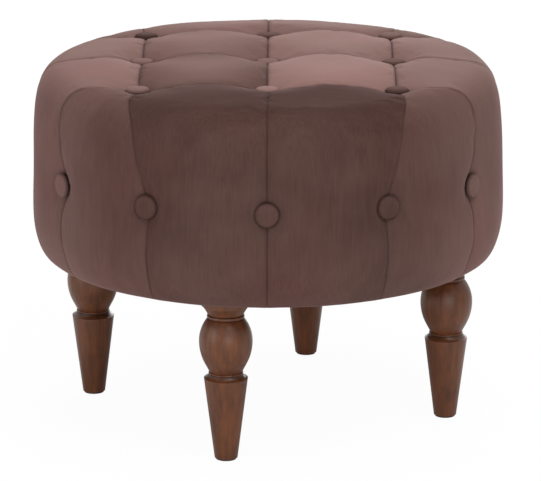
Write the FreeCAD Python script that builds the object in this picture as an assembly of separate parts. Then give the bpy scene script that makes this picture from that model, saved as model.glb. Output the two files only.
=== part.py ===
"""Round tuffet: a velvet drum seat, biscuit tufted with covered buttons, on four turned wooden legs.

The seat's cover is sewn from stuffed pockets: four squares on top between nine buttons, and twelve
panels that start at the squares, roll over the rim and run down to the base. Twelve seams run down
the side with a button on each. Under the cover lie foam, a drum frame of two boards on posts with a
hardboard wall, and the twine that holds each button down. The legs screw into the base board.

Millimetres. +Z is up, the floor is z = 0, the seat's axis is the Z axis and -Y is the front.
Angles round the seat run from the front (-Y) towards the right (+X).
"""
import FreeCAD
import Part
import math
import os

Vector = FreeCAD.Vector
UP = Vector(0, 0, 1)

# Legs, from the floor up
foot_pad_height = 2.0
foot_pad_radius = 12.5
foot_radius = 14.2
taper_height = 101.2
collar_radius = 26.9
collar_band_height = 1.0
collar_cove_height = 5.0
collar_cove_sag = 1.4
bead_bulge = 0.9
bead_step = 0.5
lower_neck_radius = 20.0
lower_bead_height = 2.6
bulb_radius = 32.8
bulb_lower_height = 39.2
bulb_upper_height = 29.4
bulb_taper_angle = 28.0
upper_neck_radius = 22.2
upper_bead_height = 4.4
cap_radius = 30.0
cap_lip = 0.8
cap_cove_height = 11.8
cap_cove_sag = 0.4
cap_band_height = 7.4
leg_edge_inset = 16.6
leg_turn = 12.6
leg_names = ("front", "left", "back", "right")

# Leg fixings
bolt_radius = 4.0
bolt_depth_in_leg = 38.0
bolt_above_nut = 6.0
fixing_clearance = 0.05
nut_barrel_radius = 5.4
nut_barrel_length = 11.0
nut_flange_radius = 11.0
nut_flange_thickness = 1.6

# Underside cloth and its staples
dust_cover_thickness = 0.8
dust_cover_overhang = 5.0
hem_thickness = 0.8
hem_width = 34.0
staple_count = 48
staple_edge_gap = 8.0
staple_crown = 10.0
staple_wire = 1.0
staple_leg = 7.0
staple_leg_clearance = 3.0

# Drum frame
board_radius = 248.0
base_board_thickness = 18.0
seat_board_thickness = 15.0
post_count = 8
post_height = 126.4
post_width = 40.0
post_edge_gap = 4.0
wall_thickness = 3.0
screw_radius = 2.0
screw_length = 45.0
screw_head_radius = 4.2
screw_head_height = 2.4

# Foam
side_foam_thickness = 10.0
top_foam_thickness = 50.0
soft_gap = 0.3

# Tufting grid and the heights of the stuffed pockets over the foam
corner_tuft_inset = 79.55
tuft_rows = 3
pocket_at_tuft = 27.0
pocket_at_seam = 32.5
pocket_crown = 46.0
rim_panel_crown = 39.5
corner_panel_crown = 35.5
pocket_fullness = 2.8
seam_slope = 18.0
crown_slope = 60.0
shoulder_reach = 7.0
seam_gap = 0.4
corner_snip = 10.0

# Side of the seat, on the crown of a panel
side_pocket_thickness = 41.7
widest_height = 85.0
rim_start_inset = 38.0
rim_start_height = 33.5
rim_start_slope = 14.0
rim_side_inset = 7.6
rim_drop = 51.5
crest_share = 0.45
hem_inset = 33.0
under_rise = 57.5
body_lift = 0.3

# How far the seams and side tufts pull in from the crown of a panel
seam_draw = 5.0
rim_seam_draw = 4.0
hem_seam_draw = 4.0
side_tuft_draw = 15.0
side_tuft_height = 121.5
side_tuft_spread = 30.0

# Covered buttons and their twine
button_radius = 15.0
button_rim_height = 2.6
button_dome_height = 4.6
button_edge_round = 1.2
shank_radius = 2.4
shank_length = 7.0
tuft_hole_radius = 3.2
twine_radius = 0.9
washer_radius = 12.0
washer_thickness = 3.0

# Levels that follow from the sizes above
leg_length = (taper_height + collar_band_height + collar_cove_height + lower_bead_height
              + bulb_lower_height + bulb_upper_height + upper_bead_height + cap_cove_height
              + cap_band_height)
leg_top_z = foot_pad_height + leg_length
hem_z = leg_top_z + dust_cover_thickness
base_bottom_z = hem_z + hem_thickness
base_top_z = base_bottom_z + base_board_thickness
seat_board_z = base_top_z + post_height
seat_top_z = seat_board_z + seat_board_thickness
foam_top_z = seat_top_z + top_foam_thickness
pocket_z = foam_top_z + soft_gap
tuft_z = pocket_z + pocket_at_tuft
body_bottom_z = leg_top_z + body_lift
under_z = body_bottom_z + under_rise
widest_z = leg_top_z + widest_height
side_tuft_z = leg_top_z + side_tuft_height
rim_z = pocket_z + rim_start_height
side_top_z = rim_z - rim_drop

# Radii and reaches that follow from the sizes above
leg_circle_radius = board_radius - leg_edge_inset
wall_radius = board_radius + wall_thickness
foam_radius = wall_radius + side_foam_thickness
panel_inner_radius = foam_radius + soft_gap
seat_radius = panel_inner_radius + side_pocket_thickness
side_tuft_radius = seat_radius - side_tuft_draw
button_seat_radius = button_radius + soft_gap
dust_cover_radius = board_radius + dust_cover_overhang
staple_circle_radius = board_radius - staple_edge_gap
tuft_reach = (seat_radius - corner_tuft_inset) / math.sqrt(2)
tuft_spacing = 2 * tuft_reach / (tuft_rows - 1)
seam_count = 4 * tuft_rows
seam_pitch = 360.0 / seam_count

# Places across a pocket, from one seam to the next, where its sections stand
section_places = (0.0, 0.1, 0.27, 0.5, 0.73, 0.9, 1.0)


# Outlines in one upright plane, as points of x and z
def heading(degrees):
    """Unit heading: 0 outwards, 90 up, -90 down."""
    turn = math.radians(degrees)
    return math.cos(turn), math.sin(turn)


def arc_from(a, way, b):
    """Arc from a to b that leaves a along a unit heading, or a line where they are in line."""
    run, rise = b[0] - a[0], b[1] - a[1]
    turn = math.atan2(run * way[1] - rise * way[0], run * way[0] + rise * way[1])
    share = math.tan(turn / 2) / 2
    middle = ((a[0] + b[0]) / 2 - rise * share, (a[1] + b[1]) / 2 + run * share)
    return (a, middle, b) if abs(share) > 1e-6 else (a, b)


def biarc(a, way_a, b, way_b, reach=None):
    """Two arcs from a to b that meet smoothly and hold the unit headings at both ends.

    reach is the length of the tangent that shapes the first arc. Without it both arcs have the same.
    """
    span = (b[0] - a[0], b[1] - a[1])
    square = span[0] ** 2 + span[1] ** 2
    ahead_a = span[0] * way_a[0] + span[1] * way_a[1]
    ahead_b = span[0] * way_b[0] + span[1] * way_b[1]
    turn = 1 - way_a[0] * way_b[0] - way_a[1] * way_b[1]
    if reach is None:
        both = ahead_a + ahead_b
        reach = square / (both + math.sqrt(both ** 2 + 2 * turn * square))
    far = (square / 2 - reach * ahead_a) / (ahead_b + reach * turn)
    near_knee = (a[0] + reach * way_a[0], a[1] + reach * way_a[1])
    far_knee = (b[0] - far * way_b[0], b[1] - far * way_b[1])
    share = reach / (reach + far)
    joint = (blend(near_knee[0], far_knee[0], share), blend(near_knee[1], far_knee[1], share))
    first = arc_from(a, way_a, joint)
    last = arc_from(b, (-way_b[0], -way_b[1]), joint)
    return [first, tuple(reversed(last))]


def smooth_outline(nodes):
    """Chain of arcs through nodes of x, z, heading in degrees and, where it is set, a reach."""
    pieces = []
    for here, there in zip(nodes, nodes[1:]):
        reach = here[3] if len(here) > 3 else None
        pieces += biarc(here[:2], heading(here[2]), there[:2], heading(there[2]), reach)
    return pieces


def corners_of(*points):
    """Straight pieces from point to point."""
    return list(zip(points, points[1:]))


def wire(pieces, place=lambda x, z: (x, 0, z)):
    """Wire of lines and arcs, each given by two or three points that place puts in space."""
    edges = []
    for piece in pieces:
        points = [Vector(*place(*point)) for point in piece]
        shape = Part.Arc(*points) if len(points) == 3 else Part.LineSegment(*points)
        edges.append(shape.toShape())
    return Part.Wire(edges)


def turned(pieces):
    """Solid of revolution about the Z axis."""
    return Part.Face(wire(pieces)).revolve(Vector(0, 0, 0), UP, 360)


# Small helpers
def blend(low, high, share):
    return low + (high - low) * share


def swell(place):
    """0 on the seams, 1 on the crown, with full shoulders."""
    return 1.0 - abs(2.0 * place - 1.0) ** pocket_fullness


def around(angle, radius):
    """Plan position at an angle in degrees from the front and a radius."""
    turn = math.radians(angle)
    return radius * math.sin(turn), -radius * math.cos(turn)


def unit(dx, dy):
    length = math.hypot(dx, dy)
    return dx / length, dy / length


def rod(place, direction, radius, length):
    return Part.makeCylinder(radius, length, Vector(*place), Vector(*direction))


def disc(radius, thickness, z):
    return rod((0, 0, z), (0, 0, 1), radius, thickness)


def ring(outer, inner, height, z):
    return disc(outer, height, z).cut(disc(inner, height, z))


def group(shapes):
    return Part.makeCompound(shapes)


def save(name, shape):
    shape.exportStep(os.path.join("parts", name + ".step"))


# Places that several pieces share
def top_tufts():
    steps = [step * tuft_spacing - tuft_reach for step in range(tuft_rows)]
    return [(x, y) for y in steps for x in steps]


def side_seam_angles():
    return [index * seam_pitch for index in range(seam_count)]


def leg_angles():
    return [-leg_turn - 90.0 * index for index in range(len(leg_names))]


def leg_places():
    return [around(angle, leg_circle_radius) for angle in leg_angles()]


def post_angles():
    """Evenly round the boards, clear of the corner tufts and of the legs' nuts."""
    return [(index + 0.5) * 360.0 / post_count for index in range(post_count)]


def post_places():
    return [around(angle, board_radius - post_edge_gap - post_width / 2) for angle in post_angles()]


def upright_shafts(z, length):
    """The way of each top button's shank and twine."""
    return [rod((x, y, z), (0, 0, 1), tuft_hole_radius, length) for x, y in top_tufts()]


def side_rods(inner, outer, radius):
    """One rod along each side tuft's line, between two radii."""
    rods = []
    for angle in side_seam_angles():
        x, y = around(angle, inner)
        way = around(angle, 1.0)
        rods.append(rod((x, y, side_tuft_z), (way[0], way[1], 0), radius, outer - inner))
    return rods


# Turned legs
def cove(lower, upper, sag):
    """Hollow arc between two points, sunk towards the axis."""
    middle = ((lower[0] + upper[0]) / 2 - sag, (lower[1] + upper[1]) / 2)
    return (lower, middle, upper)


def make_leg(x, y):
    """Tapered foot, a collar with a cove, a bulb between two beads, and a flared cap.

    Below its belly the bulb bends through the taper angle and then runs straight to the neck.
    """
    foot_z = foot_pad_height
    collar_z = foot_z + taper_height
    band_z = collar_z + collar_band_height
    cove_z = band_z + collar_cove_height
    neck_z = cove_z + lower_bead_height
    widest = neck_z + bulb_lower_height
    upper_neck_z = widest + bulb_upper_height
    flare_z = upper_neck_z + upper_bead_height
    cap_z = flare_z + cap_cove_height
    belly = (bulb_radius, widest)
    slope = math.radians(bulb_taper_angle)
    spare = bulb_lower_height * math.tan(slope) - (bulb_radius - lower_neck_radius)
    bend = spare / (math.tan(slope) * math.sin(slope) - 1 + math.cos(slope))
    straight_end = (bulb_radius - bend * (1 - math.cos(slope)), widest - bend * math.sin(slope))
    collar = (collar_radius, band_z)
    lower_bead = (lower_neck_radius + bead_step, cove_z)
    lower_neck = (lower_neck_radius, neck_z)
    upper_neck = (upper_neck_radius, upper_neck_z)
    upper_bead = (upper_neck_radius, flare_z)
    flare = (upper_neck_radius - bead_step, flare_z)
    lip = (cap_radius - cap_lip, cap_z)
    pieces = corners_of((0, foot_z), (foot_radius, foot_z), (collar_radius, collar_z), collar)
    pieces.append(cove(collar, (lower_bead[0] + bead_step, cove_z), collar_cove_sag))
    pieces += corners_of((lower_bead[0] + bead_step, cove_z), lower_bead)
    pieces.append(cove(lower_bead, (lower_bead[0], neck_z), -bead_bulge))
    pieces += corners_of((lower_bead[0], neck_z), lower_neck, straight_end)
    pieces.append(tuple(reversed(arc_from(belly, heading(-90), straight_end))))
    pieces.append(arc_from(belly, heading(90), upper_neck))
    pieces.append(cove(upper_neck, upper_bead, -bead_bulge))
    pieces += corners_of(upper_bead, flare)
    pieces.append(cove(flare, lip, cap_cove_sag))
    pieces += corners_of(lip, (cap_radius, cap_z), (cap_radius, leg_top_z), (0, leg_top_z), (0, foot_z))
    hole = disc(bolt_radius + fixing_clearance, bolt_depth_in_leg, leg_top_z - bolt_depth_in_leg)
    leg = turned(pieces).cut(hole)
    leg.translate(Vector(x, y, 0))
    return leg


def make_foot_pad(x, y):
    return rod((x, y, 0), (0, 0, 1), foot_pad_radius, foot_pad_height)


def make_bolt(x, y):
    """Hanger bolt: one end is in the leg, the other goes through the cloth and the nut."""
    bottom = leg_top_z - bolt_depth_in_leg
    top = base_top_z + nut_flange_thickness + bolt_above_nut
    return rod((x, y, bottom), (0, 0, 1), bolt_radius, top - bottom)


def make_tee_nut(x, y):
    bottom = base_top_z - nut_barrel_length
    length = nut_barrel_length + nut_flange_thickness
    barrel = rod((x, y, bottom), (0, 0, 1), nut_barrel_radius, nut_barrel_length)
    flange = rod((x, y, base_top_z), (0, 0, 1), nut_flange_radius, nut_flange_thickness)
    bore = rod((x, y, bottom), (0, 0, 1), bolt_radius + fixing_clearance, length)
    return barrel.fuse(flange).cut(bore).removeSplitter()


# Drum frame
def make_base_board():
    board = disc(board_radius, base_board_thickness, base_bottom_z)
    nut_hole_radius = nut_barrel_radius + fixing_clearance
    holes = [rod((x, y, base_bottom_z), (0, 0, 1), nut_hole_radius, base_board_thickness)
             for x, y in leg_places()]
    holes += [screw(x, y, base_bottom_z, 1, fixing_clearance) for x, y in post_places()]
    return board.cut(group(holes)).cut(group(staple_legs()))


def make_seat_board():
    board = disc(board_radius, seat_board_thickness, seat_board_z)
    holes = upright_shafts(seat_board_z, seat_board_thickness)
    holes += [screw(x, y, seat_top_z, -1, fixing_clearance) for x, y in post_places()]
    return board.cut(group(holes))


def make_post(angle, x, y):
    half = post_width / 2
    post = Part.makeBox(post_width, post_width, post_height, Vector(-half, -half, base_top_z))
    post.rotate(Vector(0, 0, 0), UP, angle)
    post.translate(Vector(x, y, 0))
    low = screw(x, y, base_bottom_z, 1, fixing_clearance)
    high = screw(x, y, seat_top_z, -1, fixing_clearance)
    return post.cut(low).cut(high)


def make_posts():
    return group([make_post(angle, x, y) for angle, (x, y) in zip(post_angles(), post_places())])


def screw(x, y, z, way, extra=0.0):
    """Countersunk wood screw with its head flush at z, pointing up for way 1 or down for way -1."""
    shaft = rod((x, y, z), (0, 0, way), screw_radius + extra, screw_length + extra)
    head = Part.makeCone(screw_head_radius + extra, screw_radius + extra, screw_head_height,
                         Vector(x, y, z), Vector(0, 0, way))
    return shaft.fuse(head)


def make_screws():
    low = [screw(x, y, base_bottom_z, 1) for x, y in post_places()]
    high = [screw(x, y, seat_top_z, -1) for x, y in post_places()]
    return group(low + high)


def make_drum_wall():
    wall = ring(wall_radius, board_radius, seat_top_z - base_bottom_z, base_bottom_z)
    shafts = side_rods(board_radius - wall_thickness, wall_radius + wall_thickness, tuft_hole_radius)
    return wall.cut(group(shafts))


# Foam
def make_side_foam():
    foam = ring(foam_radius, wall_radius, seat_top_z - base_bottom_z, base_bottom_z)
    reach = side_foam_thickness
    return foam.cut(group(side_rods(wall_radius - reach, foam_radius + reach, tuft_hole_radius)))


def make_top_foam():
    foam = disc(foam_radius, top_foam_thickness, seat_top_z)
    return foam.cut(group(upright_shafts(seat_top_z, top_foam_thickness)))


# Stuffed pockets on top
def button_seats():
    """Each button's seat, pressed into the pockets, and the way of its shank behind it."""
    seats = [rod((x, y, tuft_z), (0, 0, 1), button_seat_radius, pocket_crown) for x, y in top_tufts()]
    seats += side_rods(side_tuft_radius, seat_radius + side_tuft_draw, button_seat_radius)
    shafts = upright_shafts(pocket_z, pocket_crown)
    shafts += side_rods(foam_radius, seat_radius, tuft_hole_radius)
    return seats + shafts


def make_top_panel(low_x, low_y):
    """Square pillow between four top tufts: seams run along its edges, lowest at the buttons."""
    left, right = low_x + seam_gap / 2, low_x + tuft_spacing - seam_gap / 2
    low, high = low_y + seam_gap / 2, low_y + tuft_spacing - seam_gap / 2
    sections = [pillow_section(left, right, blend(low, high, place), swell(place))
                for place in section_places]
    return Part.makeLoft(sections, True, False).cut(group(button_seats()))


def pillow_section(left, right, y, full):
    """Flat base, upright sides and a smooth crown of arcs, low on a seam and high between seams."""
    edge = pocket_z + blend(pocket_at_tuft, pocket_at_seam, full)
    crown = pocket_z + blend(pocket_at_seam, pocket_crown, full)
    slope = blend(seam_slope, crown_slope, full)
    middle = (left + right) / 2
    rise = smooth_outline([(left, edge, slope, shoulder_reach), (middle, crown, 0)])
    fall = [tuple((left + right - x, z) for x, z in reversed(piece)) for piece in reversed(rise)]
    base = corners_of((right, edge), (right, pocket_z), (left, pocket_z), (left, edge))
    return wire(rise + fall + base, lambda x, z: (x, y, z))


# Stuffed pockets that roll over the rim
def grid_corner(index):
    """Top tuft where side seam number index ends."""
    side, step = divmod(index + tuft_rows // 2, tuft_rows)
    x, y = step * tuft_spacing - tuft_reach, -tuft_reach
    turn = math.radians(90.0 * side)
    return x * math.cos(turn) - y * math.sin(turn), x * math.sin(turn) + y * math.cos(turn)


def is_corner_panel(index):
    return math.dist(grid_corner(index), grid_corner(index + 1)) < tuft_spacing / 2


def seam_start(index, seam):
    """Plan point where a panel starts on one of its seams, half a seam gap away from it."""
    corner = grid_corner(seam)
    inwards = 1 if seam == index else -1
    if is_corner_panel(index):
        outer = around(seam * seam_pitch, side_tuft_radius)
        way = unit(outer[0] - corner[0], outer[1] - corner[1])
        across = (-way[1] * inwards, way[0] * inwards)
        corner = (corner[0] + way[0] * corner_snip, corner[1] + way[1] * corner_snip)
    else:
        other = grid_corner(2 * index + 1 - seam)
        across = unit(other[0] - corner[0], other[1] - corner[1])
    return corner[0] + across[0] * seam_gap / 2, corner[1] + across[1] * seam_gap / 2


def side_radius(z):
    """Radius of the seat's side on a panel's crown, widest part way down."""
    return seat_radius - rim_side_inset * ((z - widest_z) / (side_top_z - widest_z)) ** 2


def side_heading(z):
    """Heading of that side as it goes down."""
    lean = 2 * rim_side_inset * (z - widest_z) / (side_top_z - widest_z) ** 2
    return -90.0 + math.degrees(math.atan(lean))


def side_section(inner, angle, full, start, crest):
    """Closed outline of a side panel in one upright plane, from the grid over the rim to the base."""
    outer = around(angle, side_tuft_radius)
    way = unit(outer[0] - inner[0], outer[1] - inner[1])
    pulled = 1.0 - full

    def run_to(radius):
        along = inner[0] * way[0] + inner[1] * way[1]
        return math.sqrt(along ** 2 - inner[0] ** 2 - inner[1] ** 2 + radius ** 2) - along

    def side_node(z, draw):
        return (run_to(side_radius(z) - draw * pulled), z, side_heading(z))
    rim_run = run_to(seat_radius - rim_start_inset)
    hem_run = run_to(seat_radius - hem_inset - hem_seam_draw * pulled)
    foam_run = run_to(panel_inner_radius)
    start_z = pocket_z + start
    outline = smooth_outline([
        (0, start_z, blend(seam_slope, crown_slope, full), shoulder_reach),
        (rim_run * crest_share, pocket_z + blend(pocket_at_seam, crest, full), 0),
        (rim_run, rim_z - rim_seam_draw * pulled, -rim_start_slope),
        side_node(side_top_z, seam_draw),
        side_node(side_tuft_z + side_tuft_spread, seam_draw),
        side_node(side_tuft_z, side_tuft_draw),
        side_node(side_tuft_z - side_tuft_spread, seam_draw),
        side_node(under_z, seam_draw),
        (hem_run, body_bottom_z, -180),
    ])
    back = corners_of((hem_run, body_bottom_z), (foam_run, body_bottom_z), (foam_run, pocket_z),
                      (0, pocket_z), (0, start_z))
    return wire(outline + back, lambda run, z: (inner[0] + way[0] * run, inner[1] + way[1] * run, z))


def make_side_panel(index):
    first, second = seam_start(index, index), seam_start(index, index + 1)
    inset = math.degrees(seam_gap / 2 / side_tuft_radius)
    low_angle, high_angle = index * seam_pitch + inset, (index + 1) * seam_pitch - inset
    corner = is_corner_panel(index)
    crest = corner_panel_crown if corner else rim_panel_crown
    sections = []
    for place in section_places:
        full = swell(place)
        inner = (blend(first[0], second[0], place), blend(first[1], second[1], place))
        angle = blend(low_angle, high_angle, place)
        start = pocket_at_tuft if corner else blend(pocket_at_tuft, pocket_at_seam, full)
        sections.append(side_section(inner, angle, full, start, crest))
    return Part.makeLoft(sections, True, False).cut(group(button_seats()))


# Covered buttons
def button_solid():
    """Domed cap with a rounded edge and a shank behind it, dome up, with its back at z = 0."""
    edge = button_radius - button_edge_round
    dome_bottom = (edge, button_rim_height)
    dome_top = (0, button_rim_height + button_dome_height)
    pieces = corners_of((0, -shank_length), (shank_radius, -shank_length), (shank_radius, 0), (edge, 0))
    pieces.append(((edge, 0), (button_radius, button_rim_height / 2), dome_bottom))
    pieces.append(tuple(reversed(arc_from(dome_top, heading(0), dome_bottom))))
    pieces += corners_of(dome_top, (0, -shank_length))
    return turned(pieces)


def make_top_button(x, y):
    button = button_solid()
    button.translate(Vector(x, y, tuft_z + soft_gap))
    return button


def make_side_button(angle):
    """A button that faces outwards, seated where the seam is pulled in."""
    button = button_solid()
    button.rotate(Vector(0, 0, 0), Vector(1, 0, 0), 90)
    button.translate(Vector(0, -side_tuft_radius - soft_gap, side_tuft_z))
    button.rotate(Vector(0, 0, 0), UP, angle)
    return button


def make_twines():
    """Straight stretches from each shank's end to the washer that holds it."""
    top = tuft_z + soft_gap - shank_length
    end = side_tuft_radius + soft_gap - shank_length
    twines = [rod((x, y, seat_board_z), (0, 0, 1), twine_radius, top - seat_board_z)
              for x, y in top_tufts()]
    return group(twines + side_rods(washer_outer_radius(), end, twine_radius))


def washer_outer_radius():
    """Where a flat washer meets the inside of the round wall."""
    return math.sqrt(board_radius ** 2 - washer_radius ** 2)


def make_washers():
    washers = [rod((x, y, seat_board_z), (0, 0, -1), washer_radius, washer_thickness)
               for x, y in top_tufts()]
    outer = washer_outer_radius()
    return group(washers + side_rods(outer - washer_thickness, outer, washer_radius))


# Underside
def bolt_holes(z, thickness):
    """Holes in cloth round the leg bolts."""
    return [rod((x, y, z), (0, 0, 1), nut_barrel_radius, thickness) for x, y in leg_places()]


def make_dust_cover():
    cover = disc(dust_cover_radius, dust_cover_thickness, leg_top_z)
    return cover.cut(group(bolt_holes(leg_top_z, dust_cover_thickness))).cut(group(staple_legs()))


def make_hem():
    """The cover's edge, turned under the base board and slit round each bolt."""
    hem = ring(foam_radius, foam_radius - hem_width, hem_thickness, hem_z)
    return hem.cut(group(bolt_holes(hem_z, hem_thickness))).cut(group(staple_legs()))


def staple_angles():
    """Evenly round the rim, leaving out the places under the leg caps."""
    clear = cap_radius + staple_crown / 2 + staple_leg_clearance
    angles = [(index + 0.5) * 360.0 / staple_count for index in range(staple_count)]
    return [angle for angle in angles
            if min(math.dist(around(angle, staple_circle_radius), leg) for leg in leg_places()) > clear]


def staple_box(angle, shift, width, height, z):
    """Upright box of wire thickness on the staple circle, its width along the circle."""
    wire_half = staple_wire / 2
    box = Part.makeBox(width, staple_wire, height, Vector(shift, -staple_circle_radius - wire_half, z))
    box.rotate(Vector(0, 0, 0), UP, angle)
    return box


def staple_legs():
    half = staple_crown / 2
    return [staple_box(angle, shift, staple_wire, staple_leg, leg_top_z)
            for angle in staple_angles() for shift in (-half, half - staple_wire)]


def make_staples():
    crown_z = leg_top_z - staple_wire
    crowns = [staple_box(angle, -staple_crown / 2, staple_crown, staple_wire, crown_z)
              for angle in staple_angles()]
    legs = staple_legs()
    pairs = zip(legs[::2], legs[1::2])
    return group([crown.fuse(list(pair)).removeSplitter() for crown, pair in zip(crowns, pairs)])


row_names = ("front", "middle", "back")
column_names = ("left", "centre", "right")
side_panel_names = ("panel_front_right", "corner_panel_front_right", "panel_right_front",
                    "panel_right_back", "corner_panel_back_right", "panel_back_right",
                    "panel_back_left", "corner_panel_back_left", "panel_left_back",
                    "panel_left_front", "corner_panel_front_left", "panel_front_left")


def save_legs():
    for name, (x, y) in zip(leg_names, leg_places()):
        save("leg_" + name, make_leg(x, y))
        save("foot_pad_" + name, make_foot_pad(x, y))
    save("leg_bolts", group([make_bolt(x, y) for x, y in leg_places()]))
    save("leg_tee_nuts", group([make_tee_nut(x, y) for x, y in leg_places()]))


def save_frame():
    save("base_board", make_base_board())
    save("seat_board", make_seat_board())
    save("frame_posts", make_posts())
    save("frame_screws", make_screws())
    save("drum_wall", make_drum_wall())


def save_cover():
    for row, row_y in (("front", -tuft_reach), ("back", 0.0)):
        for column, column_x in (("left", -tuft_reach), ("right", 0.0)):
            save("top_panel_%s_%s" % (row, column), make_top_panel(column_x, row_y))
    for index, name in enumerate(side_panel_names):
        save(name, make_side_panel(index))
    save("cover_hem", make_hem())
    save("dust_cover", make_dust_cover())
    save("staples", make_staples())


def save_stuffing_and_buttons():
    save("side_foam", make_side_foam())
    save("top_foam", make_top_foam())
    names = ["top_button_%s_%s" % (row, column) for row in row_names for column in column_names]
    for name, (x, y) in zip(names, top_tufts()):
        save(name, make_top_button(x, y))
    for angle in side_seam_angles():
        save("side_button_%03d" % round(angle), make_side_button(angle))
    save("button_twines", make_twines())
    save("twine_washers", make_washers())


os.makedirs("parts", exist_ok=True)
save_legs()
save_frame()
save_cover()
save_stuffing_and_buttons()
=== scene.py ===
"""Looks of a round tuffet: a biscuit-tufted velvet drum with covered buttons on turned wooden legs.

The cover is sixteen stuffed pockets. All lie on one smooth outline turned about Z, the level of the
pockets' crowns, and are drawn in from it along the seams, at the tufts and in the creases. Lengths
are in metres. Angles round the seat run from the front (-Y) towards the right (+X).
"""
import math

import bmesh
import bpy
import numpy as np
from bpy.props import FloatProperty, FloatVectorProperty, PointerProperty
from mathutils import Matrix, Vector


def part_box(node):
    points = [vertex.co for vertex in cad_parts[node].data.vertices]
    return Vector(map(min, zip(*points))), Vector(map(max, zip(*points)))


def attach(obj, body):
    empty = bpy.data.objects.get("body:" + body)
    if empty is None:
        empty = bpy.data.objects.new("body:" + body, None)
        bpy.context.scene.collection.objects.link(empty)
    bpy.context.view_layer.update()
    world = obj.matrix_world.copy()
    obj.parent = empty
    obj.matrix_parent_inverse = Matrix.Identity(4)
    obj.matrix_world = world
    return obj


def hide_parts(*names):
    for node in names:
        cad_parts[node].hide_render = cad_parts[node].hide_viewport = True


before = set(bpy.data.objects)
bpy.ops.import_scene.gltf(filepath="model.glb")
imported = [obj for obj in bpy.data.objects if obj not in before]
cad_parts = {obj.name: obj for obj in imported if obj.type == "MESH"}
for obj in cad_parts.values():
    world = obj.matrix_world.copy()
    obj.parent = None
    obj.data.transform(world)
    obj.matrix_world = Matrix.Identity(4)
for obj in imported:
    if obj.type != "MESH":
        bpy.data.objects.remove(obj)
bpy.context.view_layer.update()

bl_info = {
    "name": "Tufted Velvet Tuffet",
    "version": (1, 0, 0),
    "blender": (4, 5, 0),
    "location": "View3D > Sidebar > Tuffet",
    "description": "Builds the velvet, buttons, legs and stage of a tufted round stool",
    "category": "Object",
}

BODY = "root"


def box_centre(node):
    low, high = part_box(node)
    return [(a + b) / 2 for a, b in zip(low, high)]


def box_low(node, axis):
    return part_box(node)[0][axis]


def box_high(node, axis):
    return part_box(node)[1][axis]


# Places and sizes that follow the frame
TUFT_REACH = box_centre("top_button_middle_right")[0]
SIDE_TUFT_Z = box_centre("side_button_000")[2]
SIDE_BUTTON_FACE = -box_low("side_button_000", 1)
BUTTON_RADIUS = (box_high("side_button_000", 0) - box_low("side_button_000", 0)) / 2
HEM_Z = box_low("panel_front_right", 2)
FOAM_RADIUS = box_high("top_foam", 0)
# Degrees from one side button to the next
SEAM_PITCH = 30.0
# A covered button's height, and how far a top button's base lies under the top of its CAD node
BUTTON_HEIGHT = 0.0072
BUTTON_SINK = 0.0050
# How far the button's cloth stands out past its radius, and the size of the shank behind it
BUTTON_CLOTH = 0.0003
SHANK_RADIUS = 0.0024
SHANK_LENGTH = 0.007
# Width of the painted shadow round a button's edge
BUTTON_SHADE_WIDTH = 0.0010
# Height and half width of the legs' turned grooves, where shade is painted
GROOVE_SHADE_BANDS = ((0.1085, 0.0032), (0.1806, 0.0016), (0.1850, 0.0014))

TOP_PANELS = {"top_panel_front_left": (-1, -1), "top_panel_front_right": (0, -1),
              "top_panel_back_left": (-1, 0), "top_panel_back_right": (0, 0)}
RIM_PANELS = ("panel_front_right", "corner_panel_front_right", "panel_right_front",
              "panel_right_back", "corner_panel_back_right", "panel_back_right",
              "panel_back_left", "corner_panel_back_left", "panel_left_back",
              "panel_left_front", "corner_panel_front_left", "panel_front_left")
TOP_BUTTONS = {"top_button_%s_%s" % (row, column): (x, y)
               for row, y in (("front", -1), ("middle", 0), ("back", 1))
               for column, x in (("left", -1), ("centre", 0), ("right", 1))}
# Share of painted light on each top button
TOP_BUTTON_PAINTED_LIGHT = (0.55, 0.80, 0.12, 0.50, 0.55, 0.20, 0.06, 0.10, 0.40)
SIDE_BUTTONS = {"side_button_%03d" % angle: angle for angle in range(0, 360, 30)}


def length(name, default, description):
    return FloatProperty(name=name, default=default, description=description, subtype="DISTANCE",
                         unit="LENGTH", precision=4)


def colour(name, default, description):
    return FloatVectorProperty(name=name, default=default, description=description, size=3,
                               subtype="COLOR", min=0.0, max=1.0)


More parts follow.
